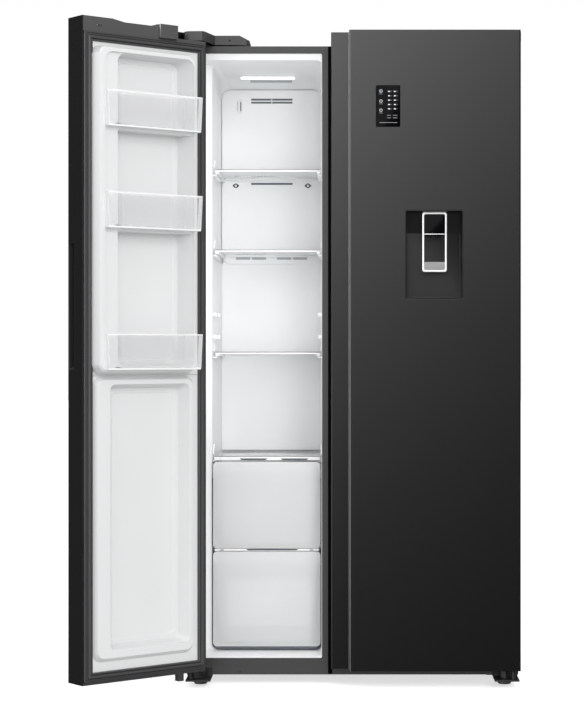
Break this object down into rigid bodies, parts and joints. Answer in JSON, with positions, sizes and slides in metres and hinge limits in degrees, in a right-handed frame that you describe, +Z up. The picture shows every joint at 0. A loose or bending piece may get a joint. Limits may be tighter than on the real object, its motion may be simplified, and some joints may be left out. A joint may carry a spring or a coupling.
{
  "type": "side by side refrigerator",
  "caption": "Black side by side refrigerator with its freezer door open, freezer shelves, drawers and door bins, and a water dispenser in the fridge door.",
  "frame": {"origin": "middle of the footprint at floor level, with the freezer door standing open", "axes": "+Z up, the doors face -Y, +X to the right as seen from the front"},
  "size_m": [1.1967, 0.9075, 1.778],
  "materials": {
    "black_steel": "satin black painted steel",
    "dark_plastic": "fine textured",
    "gasket_grey": "soft matt",
    "white_plastic": "smooth moulded",
    "clear_plastic": "clear",
    "frosted_plastic": "translucent",
    "shelf_glass": "polished, in a clear rim",
    "foam": "rigid insulation foam",
    "steel": "bare",
    "chrome": "polished",
    "compressor_black": "semi gloss",
    "black_gloss": "high gloss",
    "lamp_cover": "opal",
    "galvanised": "zinc coated"
  },
  "bodies": {
    "cabinet": {"back_panel": "galvanised", "base_pan": "galvanised", "bottom_hinge_left": "compressor_black", "bottom_hinge_right": "compressor_black", "cabinet_foam": "foam", "cabinet_shell": "black_steel", "compressor": "compressor_black", "condenser_coil": "compressor_black", "crisper_cover": "shelf_glass", "crisper_drawer": "frosted_plastic", "drain_pan": "dark_plastic", "evaporator": "galvanised", "fan_motor": "dark_plastic", "freezer_drawer_cover": "shelf_glass", "freezer_duct_cover": "white_plastic", "freezer_lamp": "lamp_cover", "freezer_liner": "white_plastic", "fridge_duct_cover": "white_plastic", "fridge_lamp": "lamp_cover", "fridge_liner": "white_plastic", "fridge_shelf_lower": "shelf_glass", "fridge_shelf_upper": "shelf_glass", "front_frame": "dark_plastic", "hinge_cover_left": "dark_plastic", "hinge_cover_right": "dark_plastic", "hinge_plate_left": "steel", "hinge_plate_right": "steel", "machine_cover": "dark_plastic"},
    "freezer_door": {"freezer_door_skin": "black_steel", "freezer_door_foam": "foam", "freezer_door_liner": "white_plastic", "freezer_door_top_cap": "dark_plastic", "freezer_door_bottom_cap": "dark_plastic", "freezer_door_gasket": "gasket_grey", "freezer_door_grip": "dark_plastic"},
    "fridge_door": {"fridge_door_skin": "black_steel", "fridge_door_grip_band": "black_steel", "fridge_door_foam": "foam", "fridge_door_liner": "white_plastic", "fridge_door_top_cap": "dark_plastic", "fridge_door_bottom_cap": "dark_plastic", "fridge_door_gasket": "gasket_grey", "fridge_bin": "clear_plastic", "water_tank": "clear_plastic", "display_panel": "black_gloss", "dispenser_housing": "black_gloss"},
    "freezer_drawer_upper": {"freezer_drawer_upper": "frosted_plastic"},
    "freezer_drawer_lower": {"freezer_drawer_lower": "frosted_plastic"},
    "freezer_shelf_upper": {"freezer_shelf_upper": "shelf_glass"},
    "freezer_shelf_middle": {"freezer_shelf_middle": "shelf_glass"},
    "freezer_shelf_lower": {"freezer_shelf_lower": "shelf_glass"},
    "freezer_bin_upper": {"freezer_bin_upper": "clear_plastic"},
    "freezer_bin_middle": {"freezer_bin_middle": "clear_plastic"},
    "freezer_bin_lower": {"freezer_bin_lower": "clear_plastic"},
    "dispenser_paddle": {"dispenser_paddle": "chrome"},
    "evaporator_fan": {"evaporator_fan": "dark_plastic"},
    "roller_left": {"roller_left": "dark_plastic"},
    "roller_right": {"roller_right": "dark_plastic"},
    "foot_left": {"foot_left": "dark_plastic"},
    "foot_right": {"foot_right": "dark_plastic"}
  },
  "joints": [
    {"name": "freezer_door_hinge", "type": "hinge", "parent": "cabinet", "child": "freezer_door", "pos_m": [-0.2925, -0.1622, 0.9], "axis": [0, 0, -1], "range_deg": [-140.5, 0]},
    {"name": "fridge_door_hinge", "type": "hinge", "parent": "cabinet", "child": "fridge_door", "pos_m": [0.5805, -0.1622, 0.9], "axis": [0, 0, 1], "range_deg": [0, 140.5]},
    {"name": "dispenser_paddle_pivot", "type": "hinge", "parent": "fridge_door", "child": "dispenser_paddle", "pos_m": [0.3657, -0.1778, 1.283], "axis": [1, 0, 0], "range_deg": [0, 8], "stiffness_Nm_per_rad": 0.6},
    {"name": "evaporator_fan_shaft", "type": "hinge", "parent": "cabinet", "child": "evaporator_fan", "pos_m": [-0.0932, 0.3372, 1.5], "axis": [0, 1, 0], "continuous": true},
    {"name": "roller_left_axle", "type": "hinge", "parent": "cabinet", "child": "roller_left", "pos_m": [-0.256, 0.4072, 0.014], "axis": [1, 0, 0], "continuous": true},
    {"name": "foot_left_thread", "type": "hinge", "parent": "cabinet", "child": "foot_left", "pos_m": [-0.2725, -0.0983, 0.02], "axis": [0, 0, 1], "continuous": true},
    {"name": "roller_right_axle", "type": "hinge", "parent": "cabinet", "child": "roller_right", "pos_m": [0.544, 0.4072, 0.014], "axis": [1, 0, 0], "continuous": true},
    {"name": "foot_right_thread", "type": "hinge", "parent": "cabinet", "child": "foot_right", "pos_m": [0.5605, -0.0983, 0.02], "axis": [0, 0, 1], "continuous": true},
    {"name": "freezer_drawer_upper_slide", "type": "slide", "parent": "cabinet", "child": "freezer_drawer_upper", "axis": [0, -1, 0], "range_m": [0, 0.28]},
    {"name": "freezer_drawer_lower_slide", "type": "slide", "parent": "cabinet", "child": "freezer_drawer_lower", "axis": [0, -1, 0], "range_m": [0, 0.28]},
    {"name": "freezer_shelf_upper_slide", "type": "slide", "parent": "cabinet", "child": "freezer_shelf_upper", "axis": [0, -1, 0], "range_m": [0, 0.15]},
    {"name": "freezer_shelf_middle_slide", "type": "slide", "parent": "cabinet", "child": "freezer_shelf_middle", "axis": [0, -1, 0], "range_m": [0, 0.15]},
    {"name": "freezer_shelf_lower_slide", "type": "slide", "parent": "cabinet", "child": "freezer_shelf_lower", "axis": [0, -1, 0], "range_m": [0, 0.15]},
    {"name": "freezer_bin_upper_lift", "type": "slide", "parent": "freezer_door", "child": "freezer_bin_upper", "axis": [0, 0, 1], "range_m": [0, 0.03]},
    {"name": "freezer_bin_middle_lift", "type": "slide", "parent": "freezer_door", "child": "freezer_bin_middle", "axis": [0, 0, 1], "range_m": [0, 0.03]},
    {"name": "freezer_bin_lower_lift", "type": "slide", "parent": "freezer_door", "child": "freezer_bin_lower", "axis": [0, 0, 1], "range_m": [0, 0.03]}
  ]
}
